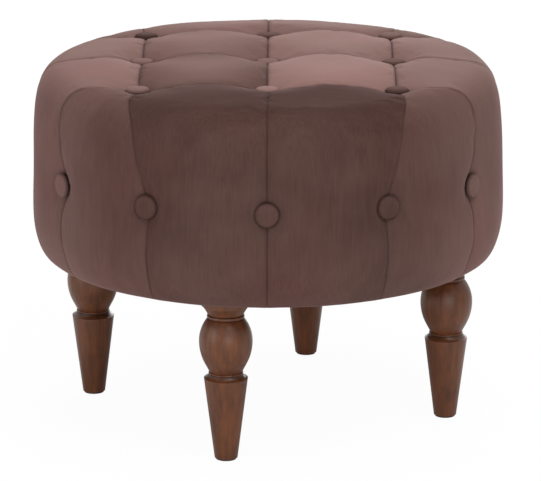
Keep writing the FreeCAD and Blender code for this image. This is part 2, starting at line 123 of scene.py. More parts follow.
class CoverSizes(bpy.types.PropertyGroup):
    """Sizes of the velvet cover."""
    crown_height: length("Crown height", 0.4625, "Height of the pockets' crowns at the seat's centre")
    dome_drop: length("Dome drop", 0.0137, "How far the crowns fall from the centre to the rim")
    rim_radius: length("Rim radius", 0.262, "Radius where the rounded rim starts")
    shoulder_radius: length("Shoulder radius", 0.2930, "Radius where the rim meets the side")
    shoulder_height: length("Shoulder height", 0.3973, "Height where the rim meets the side")
    side_radius: length("Side radius", 0.2996, "Radius of the side at its widest")
    widest_height: length("Widest height", 0.289, "Height where the side is widest")
    turn_under_height: length("Turn-under height", 0.266, "Height where the side starts to turn under")
    hem_radius: length("Hem radius", 0.2675, "Radius where the cover goes flat underneath")
    tuft_height: length("Tuft height", 0.4455, "Height of the cloth under the top buttons")
    top_seam_depth: length("Top seam depth", 0.0026, "How far the top seams lie under the crowns")
    side_seam_depth: length("Side seam depth", 0.0045, "How far the side seams lie under the crowns")
    dimple_depth: length("Dimple depth", 0.0120, "How far a side button pulls the cover in")
    dimple_reach: length("Dimple reach", 0.035, "How far that pull is felt")
    pinch_depth: length("Pinch depth", 0.0050, "How much more the cloth sinks right under a top button")
    crease_depth: length("Crease depth", 0.0026, "Depth of the narrow crease along a seam")
    crease_width: length("Crease width", 0.0011, "Width of the narrow crease along a seam")
    gather_depth: length("Gather depth", 0.0003, "Depth of the cloth's small gathers beside a seam")
    gather_reach: length("Gather reach", 0.011, "How far from a seam the gathers fade away")
    swell_cap: length("Swell cap", 0.0007, "Most that the stuffing may move a point of the cover")
    pocket_depth: length("Pocket depth", 0.012, "Depth of the pockets' side walls under a seam")


class VelvetColours(bpy.types.PropertyGroup):
    """Colours of the velvet."""
    # Lit and shaded copies of the velvet's colour: painted light and shade, mixed by the share of painted
    # light
    lit: colour("Lit nap", (0.262, 0.158, 0.140), "Velvet whose nap leans towards the light")
    shaded: colour("Shaded nap", (0.045, 0.0205, 0.016), "Velvet whose nap leans away from the light")
    sheen: colour("Sheen", (0.85, 0.54, 0.51), "Colour of the pile's tips seen edge on")


class WoodColours(bpy.types.PropertyGroup):
    """Colours of the stained legs."""
    light: colour("Light grain", (0.150, 0.047, 0.015), "Stained wood between the grain lines")
    dark: colour("Dark grain", (0.048, 0.0150, 0.006), "Grain lines and hollows")


class StageSizes(bpy.types.PropertyGroup):
    """Camera and floor."""
    camera_distance: length("Camera distance", 4.8897, "Distance from the point the camera looks at")
    camera_lens: FloatProperty(name="Lens", default=255.7, description="Focal length in millimetres")
    camera_elevation: FloatProperty(name="Elevation", default=math.radians(15.05), subtype="ANGLE",
                                    description="Angle of the view above the horizontal")
    camera_azimuth: FloatProperty(name="Azimuth", default=math.radians(0.15), subtype="ANGLE",
                                  description="Angle of the view round the object from the front")
    look_at: FloatVectorProperty(name="Look at", default=(0.00347, 0.0, 0.2165), size=3,
                                 subtype="TRANSLATION", description="Point the camera looks at")


# Curves
def smooth_through(x, knots_x, knots_y):
    """Piecewise cubic through the knots whose slope at each knot is that of its two neighbours."""
    kx, ky = np.asarray(knots_x, float), np.asarray(knots_y, float)
    slope = np.gradient(ky, kx)
    x = np.clip(x, kx[0], kx[-1])
    i = np.clip(np.searchsorted(kx, x, side="right") - 1, 0, len(kx) - 2)
    h = kx[i + 1] - kx[i]
    t = (x - kx[i]) / h
    return ((1 + 2 * t) * (1 - t) ** 2 * ky[i] + t * (1 - t) ** 2 * h * slope[i]
            + t ** 2 * (3 - 2 * t) * ky[i + 1] + t ** 2 * (t - 1) * h * slope[i + 1])


def rounded_corner(start, start_heading, end, end_heading, fullness=1.66, count=60):
    """Cubic that leaves start and reaches end along headings in degrees.

    Each end's tangent is the fullness times the corner's extent along that end's heading, and 1.66
    gives a quarter ellipse.
    """
    t = np.linspace(0, 1, count)[:, None]
    start, end = np.array(start), np.array(end)
    extent = np.abs(end - start)
    turns = (math.radians(start_heading), math.radians(end_heading))
    ways = [np.array([math.cos(turn), math.sin(turn)]) for turn in turns]
    pull = [fullness * way * float(np.abs(way) @ extent) for way in ways]
    return ((1 + 2 * t) * (1 - t) ** 2 * start + t * (1 - t) ** 2 * pull[0]
            + t ** 2 * (3 - 2 * t) * end + t ** 2 * (t - 1) * pull[1])


class Outline:
    """The smooth half outline at the level of the crowns, by distance s from the top's centre.

    The top falls with the radius to the crown power, and the side is a parabola about its widest place.
    """
    crown_power = 3
    rim_fullness = 1.5
    # Points of the top, of the side and of the flat strip inside the hem
    top_count = 120
    side_count = 60
    strip_count = 8

    def __init__(self, sizes):
        r = np.linspace(0, sizes.rim_radius, self.top_count)
        fall = sizes.dome_drop * (r / sizes.rim_radius) ** self.crown_power
        top = np.stack([r, sizes.crown_height - fall], -1)
        rim_slope = -math.degrees(math.atan(self.crown_power * sizes.dome_drop / sizes.rim_radius))
        shoulder_rise = sizes.shoulder_height - sizes.widest_height
        bulge = (sizes.side_radius - sizes.shoulder_radius) / shoulder_rise ** 2
        z = np.linspace(sizes.shoulder_height, sizes.turn_under_height, self.side_count)
        side = np.stack([sizes.side_radius - bulge * (z - sizes.widest_height) ** 2, z], -1)

        def side_heading(height):
            return -90 + math.degrees(math.atan(2 * bulge * (height - sizes.widest_height)))

        shoulder_heading = side_heading(sizes.shoulder_height)
        rim = rounded_corner(top[-1], rim_slope, side[0], shoulder_heading, self.rim_fullness)
        hem = (sizes.hem_radius, HEM_Z)
        under = rounded_corner(side[-1], side_heading(sizes.turn_under_height), hem, -180)
        strip = np.linspace(hem, (FOAM_RADIUS, HEM_Z), self.strip_count)
        points = np.concatenate([top, rim[1:], side[1:], under[1:], strip[1:]])
        steps = np.hypot(*np.diff(points, axis=0).T)
        self.s = np.concatenate([[0], np.cumsum(steps)])
        self.r, self.z = points.T
        self.end = self.s[-1]
        self.hem = self.s[-self.strip_count]
        self.normal_r = -np.gradient(self.z, self.s)
        self.normal_z = np.gradient(self.r, self.s)
        self.tuft_s = self.at_height(SIDE_TUFT_Z)

    def at_radius(self, radius):
        """Distance s on the top where the outline has this radius."""
        return np.interp(radius, self.r[:self.top_count], self.s[:self.top_count])

    def at_height(self, height):
        """Distance s on the rim or side where the outline has this height."""
        below = slice(self.top_count, None)
        return float(np.interp(-height, -self.z[below], self.s[below]))

    def radius(self, s):
        return np.interp(s, self.s, self.r)

    def height(self, s):
        return np.interp(s, self.s, self.z)

    def place(self, angle, s, depth):
        """Points at an angle in radians and a distance s, sunk by depth along the outline's normal."""
        r = self.radius(s) - depth * np.interp(s, self.s, self.normal_r)
        z = self.height(s) - depth * np.interp(s, self.s, self.normal_z)
        return np.stack([r * np.sin(angle), -r * np.cos(angle), z], -1)


def smoothstep(low, high, x):
    """0 below low, 1 above high, and between them the cubic that is level at both."""
    t = np.clip((x - low) / (high - low), 0, 1)
    return t * t * (3 - 2 * t)


def arch(share):
    """0 at both ends, 1 half way: the sine of the way across, raised to 1.05."""
    return np.clip(np.sin(np.pi * np.clip(share, 0, 1)), 0, 1) ** 1.05


def crowded(count, crowding=0.7):
    """Shares from 0 to 1, closest at both ends: a less crowding times its full sine wave."""
    a = np.linspace(0, 1, count + 1)
    return a - crowding * np.sin(2 * np.pi * a) / (2 * np.pi)


def crowded_start(count, crowding=0.75):
    """Shares from 0 to 1, closest at the start: a less crowding times its half sine wave."""
    a = np.linspace(0, 1, count + 1)
    return a - crowding * np.sin(np.pi * a) / np.pi


class Cover:
    """Works out points of the cover from its outline, seams and tufts.

    A seam beside a corner pocket is given as radius and angle on top, then as height and angle on the
    side. The near one is nearer to the front or back, and the far one to the left or right.
    """
    # Power of the rise from a seam to the crown: the lower, the steeper it is beside the seam
    dome_power = 0.6
    # Twice the distance from the top's row of tufts at which a pocket over the rim is full
    rim_rise = 0.64 * TUFT_REACH
    # Share of a dimple's depth at the buttons of the front and back
    front_pull = 0.55
    # How fast a dimple fades: both the factor and the power of the distance
    dimple_fade = 1.6
    # Added to the distance from a row's seam half way between its tufts, where the crease is softer
    row_softness = 0.0016
    # Distance past the corner tufts over which the creases get shallow, and the heights between
    # which they deepen again on the side
    crease_fade = 0.02
    side_crease = (0.43, 0.38)
    # Waves in radians per metre: the gathers beside a seam, and the slow ones inside a pocket
    gather_pitch = 240.0
    drift_pitch = 38.0
    # Depth of the slow waves, and the distance from a seam over which they set in
    drift_depth = 0.0009
    drift_reach = 0.02
    # Length above the hem over which the relief fades
    hem_fade = 0.045
    # Gap between a corner pocket's start and its tuft, and the width at which it is fully arched
    corner_gap = 0.004
    corner_full_width = 0.095
    corner_radius = TUFT_REACH * math.sqrt(2)
    near_seam = (((corner_radius, 45.0), (0.240, 42.1), (0.262, 39.3)),
                 ((0.430, 35.4), (0.380, 32.7), (0.345, 30.7),
                  (SIDE_TUFT_Z, 30.0), (0.262, 29.8), (0.215, 29.5)))
    far_seam = (((corner_radius, 45.0), (0.2297, 41.2), (0.2534, 35.5)),
                ((0.446, 31.8), (0.410, 28.7), (0.370, 29.3),
                 (SIDE_TUFT_Z, 30.0), (0.262, 30.1), (0.215, 31.2)))

    def __init__(self, sizes):
        self.sizes = sizes
        self.outline = Outline(sizes)
        self.near_knots = self.knots_along(*self.near_seam)
        self.far_knots = self.knots_along(*self.far_seam)
        self.corner_s = self.near_knots[0][0]
        top, side = sizes.top_seam_depth, sizes.side_seam_depth
        at_radius, at_height = self.outline.at_radius, self.outline.at_height
        # Distance s and depth of the seams: even on top, shallow over the rim, deeper on the side
        self.seam_depth_knots = np.array([
            (0.0, top), (TUFT_REACH, top), (at_radius(0.245), 0.2 * top),
            (at_height(0.43), 0.3 * top), (at_height(0.37), side), (self.outline.end, side)]).T

    def knots_along(self, on_top, on_side):
        """Distances s and angles of a seam's knots, given by radius on top and by height on the side."""
        knots = [(float(self.outline.at_radius(radius)), angle) for radius, angle in on_top]
        knots += [(self.outline.at_height(height), angle) for height, angle in on_side]
        return np.array(knots).T

    def seam_angle(self, s, knots):
        """Angle in radians between a seam beside a corner pocket and the middle of the nearer side."""
        return np.radians(smooth_through(s, *knots))

    def seam_depth(self, s):
        return smooth_through(s, *self.seam_depth_knots)

    def sunk(self, s, across, along, seam_distance):
        """How far a point lies under the crowns' outline.

        It is the tuft's depth where both arches are low, plus the seam's depth away from the crown,
        plus a narrow crease that fades with the distance to the nearest seam.
        """
        sizes = self.sizes
        seam = self.seam_depth(s)
        tuft = np.clip(self.outline.height(s) - seam - sizes.tuft_height, 0, None)
        depth = tuft * (1 - across) * (1 - along)
        depth += seam * (1 - (across * along) ** self.dome_power)
        rim = smoothstep(self.corner_s, self.corner_s + self.crease_fade, s)
        high, low = self.side_crease
        side = smoothstep(self.outline.at_height(high), self.outline.at_height(low), s)
        crease = sizes.crease_depth * (1 - 0.8 * rim + 0.3 * side)
        return depth + crease * np.exp(-seam_distance / sizes.crease_width)

    def square(self, column, row, count=64):
        """Pocket between four top tufts."""
        share = crowded(count)
        a, b = np.meshgrid(share, share, indexing="ij")
        x, y = (column + a) * TUFT_REACH, (row + b) * TUFT_REACH
        s = self.outline.at_radius(np.hypot(x, y))
        row_distance = TUFT_REACH * np.minimum(b, 1 - b) + self.row_softness * arch(a)
        distance = np.minimum(TUFT_REACH * np.minimum(a, 1 - a), row_distance)
        depth = self.sunk(s, arch(a), arch(b), distance)
        return Pocket(np.arctan2(x, -y), s, depth, distance, arch(a) * arch(b))

    def dimples(self, points, buttons):
        """Depth that side buttons add, given as angle and share of the full pull, fading with distance."""
        depth = 0
        for angle, share in buttons:
            turn = math.radians(angle)
            r = self.sizes.side_radius
            centre = np.array([r * math.sin(turn), -r * math.cos(turn), SIDE_TUFT_Z])
            away = np.linalg.norm(points - centre, axis=-1) / self.sizes.dimple_reach
            fade = np.exp(-self.dimple_fade * away ** self.dimple_fade)
            depth = np.maximum(depth, share * self.sizes.dimple_depth * fade)
        return depth

    def edge_pocket(self, knots, softness, pull, across_count=64, down_count=140):
        """Pocket from the row of tufts over the rim to the hem, from the middle to these knots' seam.

        The softness is how much of the crease along the row is faded out half way between its tufts,
        and the pull is the share of a dimple's depth at its side buttons.
        """
        outline = self.outline
        a, b = np.meshgrid(crowded(across_count), crowded_start(down_count), indexing="ij")
        start = outline.at_radius(TUFT_REACH * np.sqrt(1 + a ** 2))
        s = start + (outline.end - start) * b
        side_width = outline.radius(s) * np.sin(self.seam_angle(s, knots))
        width = np.where(s < self.corner_s, TUFT_REACH, side_width)
        angle = np.arcsin(np.clip(a * width / outline.radius(s), -1, 1))
        from_row = s - start
        along = arch(np.clip(from_row / self.rim_rise, 0, 0.5))
        distance = np.minimum(width * np.minimum(a, 1 - a), from_row + softness * arch(a))
        depth = self.sunk(s, arch(a), along, distance)
        depth += self.dimples(outline.place(angle, s, 0), ((0, pull), (SEAM_PITCH, pull)))
        return Pocket(angle, s, depth, distance, arch(a) * along)

    def corner_pocket(self, across_count=40, down_count=110):
        """Pocket from a corner tuft over the rim to the hem, between the seams at 30 and 60 degrees."""
        outline = self.outline
        a, b = np.meshgrid(crowded(across_count), crowded_start(down_count), indexing="ij")
        start = self.corner_s + self.corner_gap
        s = start + (outline.end - start) * b
        low = self.seam_angle(s, self.near_knots)
        width = math.pi / 2 - self.seam_angle(s, self.far_knots) - low
        angle = low + a * width
        along = arch(np.clip((s - self.corner_s) / self.rim_rise, 0, 0.5))
        distance = outline.radius(s) * width * np.minimum(a, 1 - a)
        across = arch(a) * smoothstep(0, self.corner_full_width, outline.radius(s) * width)
        depth = self.sunk(s, across, along, distance)
        buttons = ((SEAM_PITCH, self.front_pull), (2 * SEAM_PITCH, 1.0))
        depth += self.dimples(outline.place(angle, s, 0), buttons)
        return Pocket(angle, s, depth, distance, across * along)

    def rim_pocket(self, index):
        """The pocket from one side seam to the next, mirrored into its quarter."""
        quarter, step = divmod(index, 3)
        mirrored = quarter % 2 == 1
        step = 2 - step if mirrored else step
        if step == 1:
            pocket = self.corner_pocket()
        elif step == 2:
            pocket = self.edge_pocket(self.far_knots, 0.0, 1.0)
            pocket.angle = math.pi / 2 - pocket.angle
        else:
            pocket = self.edge_pocket(self.near_knots, self.row_softness, self.front_pull)
        pocket.angle = math.pi * ((quarter + 1) // 2) + (-1 if mirrored else 1) * pocket.angle
        if (step == 2) == mirrored:
            pocket.flip()
        return pocket

    def surface(self, pocket):
        """Points of a pocket, with small gathers and the pinch under top buttons, flatter at the hem."""
        base = self.outline.place(pocket.angle, pocket.s, 0)
        size = self.sizes
        beside = np.exp(-pocket.distance / size.gather_reach)
        gathers = size.gather_depth * waves(base, self.gather_pitch) * beside
        inside = 1 - np.exp(-pocket.distance / self.drift_reach)
        drift = self.drift_depth * waves(base, self.drift_pitch) * inside
        flat = base[..., :2]
        away = flat - TUFT_REACH * np.clip(np.round(flat / TUFT_REACH), -1, 1)
        from_tuft = np.hypot(away[..., 0], away[..., 1])
        pinch = size.pinch_depth * np.exp(-(from_tuft / (1.15 * BUTTON_RADIUS)) ** 3)
        held = 1 - 0.9 * smoothstep(self.outline.hem - self.hem_fade, self.outline.hem, pocket.s)
        return self.outline.place(pocket.angle, pocket.s, (pocket.depth + pinch + gathers + drift) * held)


def button_distance(points):
    """Distance of each point from the middle of the nearest button."""
    top = [np.array([x * TUFT_REACH, y * TUFT_REACH, box_high(name, 2)])
           for name, (x, y) in TOP_BUTTONS.items()]
    side = [np.array(box_centre(name)) for name in SIDE_BUTTONS]
    distance = np.full(points.shape[:-1], np.inf)
    for middle in top + side:
        distance = np.minimum(distance, np.linalg.norm(points - middle, axis=-1))
    return distance


class Pocket:
    """A pocket's grid: angle and s of each point, its depth, distance to a seam and fullness."""

    def __init__(self, angle, s, depth, distance, fullness):
        self.angle = angle
        self.s = s
        self.depth = depth
        self.distance = distance
        self.fullness = fullness

    def flip(self):
        """Turns the order of the rows round, so that the faces point outwards."""
        for key, value in vars(self).items():
            setattr(self, key, value[::-1])


def waves(points, pitch):
    """Smooth, irregular waves between about -1 and 1: sines of the place along seven fixed slants."""
    golden = (1 + math.sqrt(5)) / 2
    i = np.arange(1, 8)
    z = 1 - 2 * (i * golden % 1)
    turn = 2 * np.pi * i / golden
    flat = np.sqrt(1 - z ** 2)
    slants = np.stack([flat * np.cos(turn), flat * np.sin(turn), z]) * pitch * (0.7 + 0.09 * i)
    return np.sin(points @ slants + 2.4 * i).sum(-1) / 3.0


# Meshes
def new_piece(name, points, faces, material, smooth=True):
    mesh = bpy.data.meshes.new(name)
    mesh.from_pydata(np.asarray(points).reshape(-1, 3).tolist(), [], faces)
    mesh.materials.append(material)
    mesh.polygons.foreach_set("use_smooth", np.full(len(mesh.polygons), smooth))
    mesh.update()
    piece = bpy.data.objects.new(name, mesh)
    bpy.context.scene.collection.objects.link(piece)
    return piece


def grid_faces(rows, columns, wrap=False):
    """Quads of a grid of points stored row by row. wrap joins the last row to the first."""
    i = np.arange(rows if wrap else rows - 1)[:, None]
    j = np.arange(columns - 1)[None, :]
    here, there = i * columns + j, ((i + 1) % rows) * columns + j
    return np.stack([here, there, there + 1, here + 1], -1).reshape(-1, 4)


def vertex_normals(points):
    """Unit normals of a grid, from the cross product of its two directions."""
    cross = np.cross(np.gradient(points, axis=0), np.gradient(points, axis=1))
    size = np.linalg.norm(cross, axis=-1, keepdims=True)
    return cross / np.where(size > 1e-12, size, 1)


def close_pocket(points, depth):
    """Adds a back to a grid: walls down from its two long edges, a floor between them, and two ends."""
    rows, columns = points.shape[:2]
    inwards = -vertex_normals(points[[0, rows // 2, -1]])[1]
    left, right = points[0] + inwards * depth, points[-1] + inwards * depth
    outer = rows * columns
    faces = grid_faces(rows, columns).tolist()
    j = np.arange(columns - 1)
    a, b = outer + j, outer + columns + j
    last = (rows - 1) * columns + j
    faces += np.stack([j, j + 1, a + 1, a], -1).tolist()
    faces += np.stack([last + 1, last, b, b + 1], -1).tolist()
    faces += np.stack([a, a + 1, b + 1, b], -1).tolist()
    first_end = [i * columns for i in range(rows)]
    last_end = [i * columns + columns - 1 for i in range(rows)]
    faces.append([outer] + [outer + columns] + first_end[::-1])
    faces.append(last_end + [outer + 2 * columns - 1, outer + columns - 1])
    return np.concatenate([points.reshape(-1, 3), left, right]), faces


def finish(piece, slot, *nodes):
    """Fixes a piece to the body and hides the nodes that it stands for. The slot is not used."""
    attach(piece, BODY)
    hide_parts(*nodes)


# Materials
def new_material(name):
    material = bpy.data.materials.new(name)
    material.use_nodes = True
    nodes = material.node_tree.nodes
    nodes.clear()
    output = nodes.new("ShaderNodeOutputMaterial")
    shader = nodes.new("ShaderNodeBsdfPrincipled")
    material.node_tree.links.new(shader.outputs[0], output.inputs[0])
    return material, material.node_tree, shader


def node(tree, kind, inputs=None, **settings):
    made = tree.nodes.new(kind)
    for key, value in settings.items():
        setattr(made, key, value)
    for key, value in (inputs or {}).items():
        if isinstance(value, bpy.types.NodeSocket):
            tree.links.new(value, made.inputs[key])
        else:
            made.inputs[key].default_value = value
    return made


def noise(tree, vector, scale, detail=2.0, roughness=0.5):
    return node(tree, "ShaderNodeTexNoise", {"Vector": vector, "Scale": scale, "Detail": detail,
                                             "Roughness": roughness}).outputs["Fac"]


def maths(tree, operation, *values):
    made = node(tree, "ShaderNodeMath", operation=operation)
    for socket, value in zip(made.inputs, values):
        if isinstance(value, bpy.types.NodeSocket):
            tree.links.new(value, socket)
        else:
            socket.default_value = value
    return made.outputs[0]


def mix_colours(tree, share, first, second):
    made = node(tree, "ShaderNodeMix", {0: share}, data_type="RGBA")
    for index, value in ((6, first), (7, second)):
        if isinstance(value, bpy.types.NodeSocket):
            tree.links.new(value, made.inputs[index])
        else:
            made.inputs[index].default_value = (*value, 1.0)
    return made.outputs[2]


def object_coordinates(tree, scale=(1, 1, 1)):
    coordinates = node(tree, "ShaderNodeTexCoord").outputs["Object"]
    return node(tree, "ShaderNodeMapping", {"Vector": coordinates, "Scale": scale}).outputs[0]


def velvet_material(colours):
    """Short pile: painted light and shade between a lit and a shaded colour, brushed patches, fine pile
    grain, painted shade in the seams and round the buttons, and a soft sheen.
    """
    material, tree, shader = new_material("brushed_velvet")
    place = object_coordinates(tree)
    # Share of painted light: 0 gives the shaded colour, 1 the lit one
    painted_light = node(tree, "ShaderNodeAttribute", attribute_name="painted_light").outputs["Fac"]
    brushed = noise(tree, object_coordinates(tree, (9, 22, 14)), 1.0, 3.0, 0.55)
    strokes = noise(tree, object_coordinates(tree, (36, 130, 22)), 1.0, 2.0)
    ribs = noise(tree, object_coordinates(tree, (400, 400, 22)), 1.0, 1.0)
    pile = noise(tree, place, 1600.0, 1.0)
    share = painted_light
    for pattern, amount in ((brushed, 0.18), (strokes, 0.09), (ribs, 0.10), (pile, 0.12)):
        centred = maths(tree, "SUBTRACT", share, amount / 2)
        share = maths(tree, "MULTIPLY_ADD", pattern, amount, centred)
    share = node(tree, "ShaderNodeClamp", {"Value": share}).outputs[0]
    colour_out = mix_colours(tree, share, colours.shaded, colours.lit)
    patches = node(tree, "ShaderNodeMapRange", {"Value": noise(tree, place, 7.0, 2.0),
                                                "From Min": 0.4, "From Max": 0.7}).outputs[0]
    warmth = {0: maths(tree, "MULTIPLY", patches, 0.55), 6: colour_out, 7: (1.10, 0.93, 0.97, 1.0)}
    warm = node(tree, "ShaderNodeMix", warmth, data_type="RGBA", blend_type="MULTIPLY")
    colour_out = warm.outputs[2]
    # Painted shade in the seams and round the buttons: a mix towards a quarter of the shaded colour
    seam = node(tree, "ShaderNodeAttribute", attribute_name="seam").outputs["Fac"]
    painted_crease_shade = tuple(channel * 0.25 for channel in colours.shaded)
    colour_out = mix_colours(tree, maths(tree, "MULTIPLY", seam, 0.6), colour_out, painted_crease_shade)
    tree.links.new(colour_out, shader.inputs["Base Color"])
    bump = node(tree, "ShaderNodeBump", {"Height": pile, "Strength": 0.25, "Distance": 0.0004})
    tree.links.new(bump.outputs[0], shader.inputs["Normal"])
    shader.inputs["Roughness"].default_value = 0.85
    shader.inputs["Specular IOR Level"].default_value = 0.1
    shader.inputs["Sheen Weight"].default_value = 0.15
    shader.inputs["Sheen Roughness"].default_value = 0.3
    shader.inputs["Sheen Tint"].default_value = (*colours.sheen, 1.0)
    return material


def wood_material(colours):
    """Stained hardwood: long grain along the leg, painted shade in the turned grooves, satin lacquer."""
    material, tree, shader = new_material("stained_wood")
    height = node(tree, "ShaderNodeSeparateXYZ", {0: object_coordinates(tree)}).outputs[2]
    # Painted shade in the turned grooves, darkest at each groove's middle
    groove_shade = 0.0
    for middle, half_width in GROOVE_SHADE_BANDS:
        away = maths(tree, "ABSOLUTE", maths(tree, "SUBTRACT", height, middle))
        near = node(tree, "ShaderNodeMapRange", {"Value": away, "From Max": half_width, "To Min": 1.0,
                                                 "To Max": 0.0}).outputs[0]
        groove_shade = maths(tree, "MAXIMUM", groove_shade, near)
    long_grain = noise(tree, object_coordinates(tree, (150, 150, 12)), 1.0, 6.0, 0.65)
    blotches = noise(tree, object_coordinates(tree), 32.0, 3.0)
    pores = noise(tree, object_coordinates(tree, (900, 900, 60)), 1.0, 2.0)
    ramp = node(tree, "ShaderNodeMapRange", {"Value": long_grain, "From Min": 0.22, "From Max": 0.78})
    share = maths(tree, "MULTIPLY_ADD", pores, 0.35, maths(tree, "SUBTRACT", ramp.outputs[0], 0.2))
    share = maths(tree, "MULTIPLY_ADD", blotches, 0.5, maths(tree, "SUBTRACT", share, 0.22))
    share = node(tree, "ShaderNodeClamp", {"Value": share}).outputs[0]
    grain = mix_colours(tree, share, colours.dark, colours.light)
    painted_groove_shade = tuple(channel * 0.3 for channel in colours.dark)
    colour_out = mix_colours(tree, maths(tree, "MULTIPLY", groove_shade, 0.75), grain, painted_groove_shade)
    tree.links.new(colour_out, shader.inputs["Base Color"])
    bump = node(tree, "ShaderNodeBump", {"Height": pores, "Strength": 0.2, "Distance": 0.0003})
    tree.links.new(bump.outputs[0], shader.inputs["Normal"])
    shader.inputs["Roughness"].default_value = 0.36
    shader.inputs["Specular IOR Level"].default_value = 0.32
    return material


def plain_material(name, base, roughness, metallic=0.0):
    """Small or hidden pieces: a mottled colour and a fine surface."""
    material, tree, shader = new_material(name)
    place = object_coordinates(tree)
    share = noise(tree, place, 120.0, 3.0)
    darker = tuple(channel * 0.72 for channel in base)
    tree.links.new(mix_colours(tree, share, darker, base), shader.inputs["Base Color"])
    grain = noise(tree, place, 900.0)
    bump = node(tree, "ShaderNodeBump", {"Height": grain, "Strength": 0.15, "Distance": 0.0003})
    tree.links.new(bump.outputs[0], shader.inputs["Normal"])
    shader.inputs["Roughness"].default_value = roughness
    shader.inputs["Metallic"].default_value = metallic
    return material


def dress(name, material):
    """Gives a CAD node a material in every slot."""
    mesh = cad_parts[name].data
    mesh.materials.clear()
    mesh.materials.append(material)


def set_values(piece, name, values):
    """Stores a number for each point of a piece, which its material reads by name."""
    attribute = piece.data.attributes.new(name, "FLOAT", "POINT")
    attribute.data.foreach_set("value", np.asarray(values, dtype=np.float32))


# Share of painted light on the flat and on the upright part of each pocket, and the painted highlight the
# crest adds
PAINTED_LIGHT = {"top_panel_front_right": (0.80, 0.80, 0.15), "top_panel_front_left": (0.34, 0.34, 0.26),
       "top_panel_back_right": (0.70, 0.70, 0.10), "top_panel_back_left": (0.48, 0.48, 0.14),
       "panel_front_right": (0.0, 0.11, 0.0), "panel_front_left": (0.02, 0.11, 0.0),
       "corner_panel_front_right": (0.33, 0.16, 0.0), "corner_panel_front_left": (0.33, 0.16, 0.0),
       "panel_right_front": (0.60, 0.19, 0.0), "panel_left_front": (0.69, 0.18, 0.0),
       "panel_right_back": (0.60, 0.17, 0.0), "panel_left_back": (0.62, 0.16, 0.0),
       "corner_panel_back_right": (0.50, 0.14, 0.0), "corner_panel_back_left": (0.52, 0.15, 0.0),
       "panel_back_right": (0.55, 0.14, 0.0), "panel_back_left": (0.55, 0.16, 0.0)}
# What the painted light gains towards the left and right of the upright part, as painted sheen, and
# towards the hem
SIDEWAYS_PAINTED_SHEEN = 0.19
HEM_PAINTED_LIGHT = 0.09


class TUFFET_OT_pockets(bpy.types.Operator):
    """Sixteen stuffed velvet pockets that make the cover"""
    bl_idname = "tuffet.pockets"
    bl_label = "Velvet Pockets"

    def execute(self, context):
        scene = context.scene
        cover = Cover(scene.tuffet_cover)
        pockets = {name: cover.square(*place) for name, place in TOP_PANELS.items()}
        pockets.update((name, cover.rim_pocket(index)) for index, name in enumerate(RIM_PANELS))
        surfaces = {name: cover.surface(pocket) for name, pocket in pockets.items()}
        stuff(surfaces, scene.tuffet_cover)
        material = velvet_material(scene.tuffet_velvet)
        for name, points in surfaces.items():
            vertices, faces = close_pocket(points, scene.tuffet_cover.pocket_depth)
            piece = new_piece("velvet_" + name, vertices, faces, material)
            set_values(piece, "painted_light", self.painted_light(name, cover, pockets[name]))
            set_values(piece, "seam", self.seam(cover, pockets[name], points))
            finish(piece, "velvet", name)
        return {"FINISHED"}

    def seam(self, cover, pocket, points):
        """Painted shade: 1 in a seam and round a button's edge, less in seams in front."""
        seam = np.exp(-pocket.distance / (1.3 * cover.sizes.crease_width))
        down = smoothstep(cover.corner_s, cover.outline.at_height(0.4), pocket.s)
        sideways = smoothstep(0.6, 0.8, np.abs(np.sin(pocket.angle)))
        seam *= 1 - 0.65 * down * (1 - sideways)
        outside = np.clip(button_distance(points) - BUTTON_RADIUS, 0, None)
        under = np.exp(-outside / BUTTON_SHADE_WIDTH)
        seam = np.maximum(seam, under)
        return np.concatenate([seam.ravel(), seam[0], seam[-1]])

    def painted_light(self, name, cover, pocket):
        """Share of painted light: the flat's value, over the rim to the upright's.

        It is lighter at the crest as a painted highlight, towards the left and right of the upright as
        painted sheen, and towards the hem.
        """
        flat, upright, crest = PAINTED_LIGHT[name]
        down = smoothstep(cover.outline.at_radius(0.235), cover.outline.at_height(0.405), pocket.s)
        sideways = smoothstep(0.60, 0.88, np.abs(np.sin(pocket.angle)))
        painted_light = flat + (upright + SIDEWAYS_PAINTED_SHEEN * sideways - flat) * down + crest * (pocket.fullness - 0.4)
        painted_light += HEM_PAINTED_LIGHT * smoothstep(cover.outline.tuft_s, cover.outline.hem, pocket.s)
        return np.concatenate([painted_light.ravel(), painted_light[0], painted_light[-1]])


